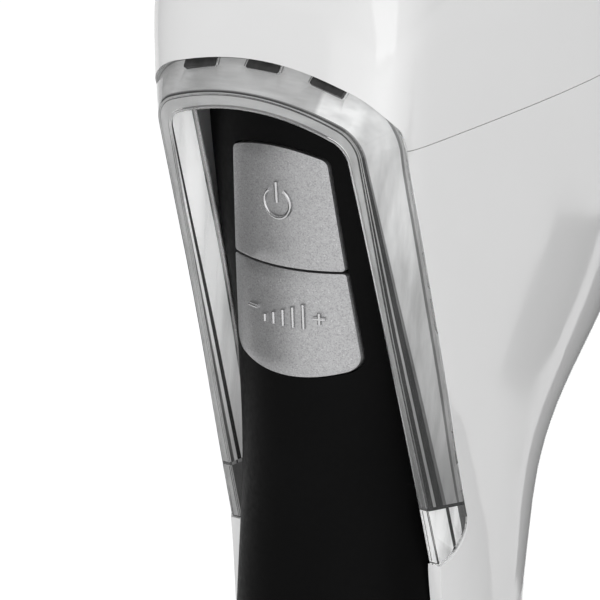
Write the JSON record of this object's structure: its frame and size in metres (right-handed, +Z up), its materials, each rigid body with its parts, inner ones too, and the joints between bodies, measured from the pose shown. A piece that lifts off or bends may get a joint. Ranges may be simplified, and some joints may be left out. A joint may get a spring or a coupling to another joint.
{
  "type": "immersion blender",
  "caption": "Cordless immersion blender: white handle with clear light frame, soft grip, two silver keys, release buttons, and a pull-off steel blending arm with bell and blade.",
  "frame": {"origin": "centre of the bell guard's rim plane, on the drive axis", "axes": "+Z up along the drive axis towards the head, -Y towards the side with the keys, +X across the handle to the user's left when the keys face them"},
  "size_m": [0.068, 0.1166, 0.4369],
  "materials": {
    "white_shell": "high gloss white ABS",
    "clear_acrylic": "clear polished acrylic",
    "reflector_white": "white satin reflector",
    "smoked_window": "dark tinted",
    "soft_black": "soft-touch matt black",
    "silver_key": "fine metallic silver lacquer",
    "black_plastic": "moulded black nylon",
    "grey_plastic": "grey moulded ABS",
    "circuit_board": "green solder mask",
    "led": "diffused LED body",
    "cell_wrap": "heat-shrink wrap",
    "bright_steel": "turned steel",
    "brushed_stainless": "brushed stainless steel",
    "motor_steel": "zinc plated steel",
    "ferrite": "sintered ferrite",
    "copper": "copper",
    "carbon": "carbon",
    "bushing": "acetal",
    "coupler": "glass-filled nylon",
    "seal": "nitrile rubber"
  },
  "bodies": {
    "handle": {"neck_housing": "white_shell", "head_cover": "white_shell", "light_frame": "clear_acrylic", "frame_reflector": "reflector_white", "level_window_right": "smoked_window", "level_window_middle": "smoked_window", "level_window_left": "smoked_window", "front_grip": "soft_black", "tact_switches": "black_plastic", "control_board": "circuit_board", "board_screws": "bright_steel", "indicator_leds": "led", "light_board": "circuit_board", "battery_cells": "cell_wrap", "cell_links": "bright_steel", "battery_cradle": "black_plastic", "charge_board": "circuit_board", "inlet_bezel": "grey_plastic", "charge_jack": "black_plastic", "motor_can": "motor_steel", "motor_end_cap": "black_plastic", "motor_bearing_low": "bright_steel", "motor_bearing_high": "bright_steel", "motor_magnets": "ferrite", "motor_brushes": "carbon", "motor_mount": "grey_plastic", "motor_screws": "bright_steel", "handle_collar": "black_plastic", "release_spring_left": "bright_steel", "release_spring_right": "bright_steel"},
    "power_button": {"power_key": "silver_key", "power_switch_plunger": "black_plastic"},
    "select_button": {"select_key": "silver_key", "select_switch_plunger": "black_plastic"},
    "release_left": {"release_button_left": "soft_black", "release_hook_left": "black_plastic"},
    "release_right": {"release_button_right": "soft_black", "release_hook_right": "black_plastic"},
    "rotor": {"motor_shaft": "bright_steel", "rotor_core": "motor_steel", "rotor_windings": "copper", "commutator": "copper", "motor_coupling": "black_plastic"},
    "arm": {"arm_socket": "white_shell", "shaft_tube": "brushed_stainless", "upper_bushing": "bushing", "bell_guard": "brushed_stainless", "lower_bushing": "bushing", "shaft_seal": "seal"},
    "blade_drive": {"drive_spindle": "bright_steel", "spindle_coupler": "coupler", "blade": "brushed_stainless", "blade_nut": "bright_steel"}
  },
  "joints": [
    {"name": "power_press", "type": "slide", "parent": "handle", "child": "power_button", "axis": [0, 1, 0], "range_m": [0, 0.0008], "stiffness_N_per_m": 600},
    {"name": "select_press", "type": "slide", "parent": "handle", "child": "select_button", "axis": [0, 1, 0], "range_m": [0, 0.0008], "stiffness_N_per_m": 600},
    {"name": "release_left_press", "type": "slide", "parent": "handle", "child": "release_left", "axis": [-1, 0, 0], "range_m": [0, 0.003], "stiffness_N_per_m": 800, "deforming": ["release_spring_left"]},
    {"name": "release_right_press", "type": "slide", "parent": "handle", "child": "release_right", "axis": [1, 0, 0], "range_m": [0, 0.003], "stiffness_N_per_m": 800, "deforming": ["release_spring_right"]},
    {"name": "rotor_spin", "type": "hinge", "parent": "handle", "child": "rotor", "pos_m": [0, 0, 0.25], "axis": [0, 0, 1], "continuous": true},
    {"name": "arm_pull", "type": "slide", "parent": "handle", "child": "arm", "axis": [0, 0, -1], "range_m": [0, 0.05]},
    {"name": "blade_spin", "type": "hinge", "parent": "arm", "child": "blade_drive", "pos_m": [0, 0, 0.1], "axis": [0, 0, 1], "continuous": true}
  ],
  "couplings": [
    {"joint": "blade_spin", "follows": "rotor_spin", "ratio": 1}
  ]
}
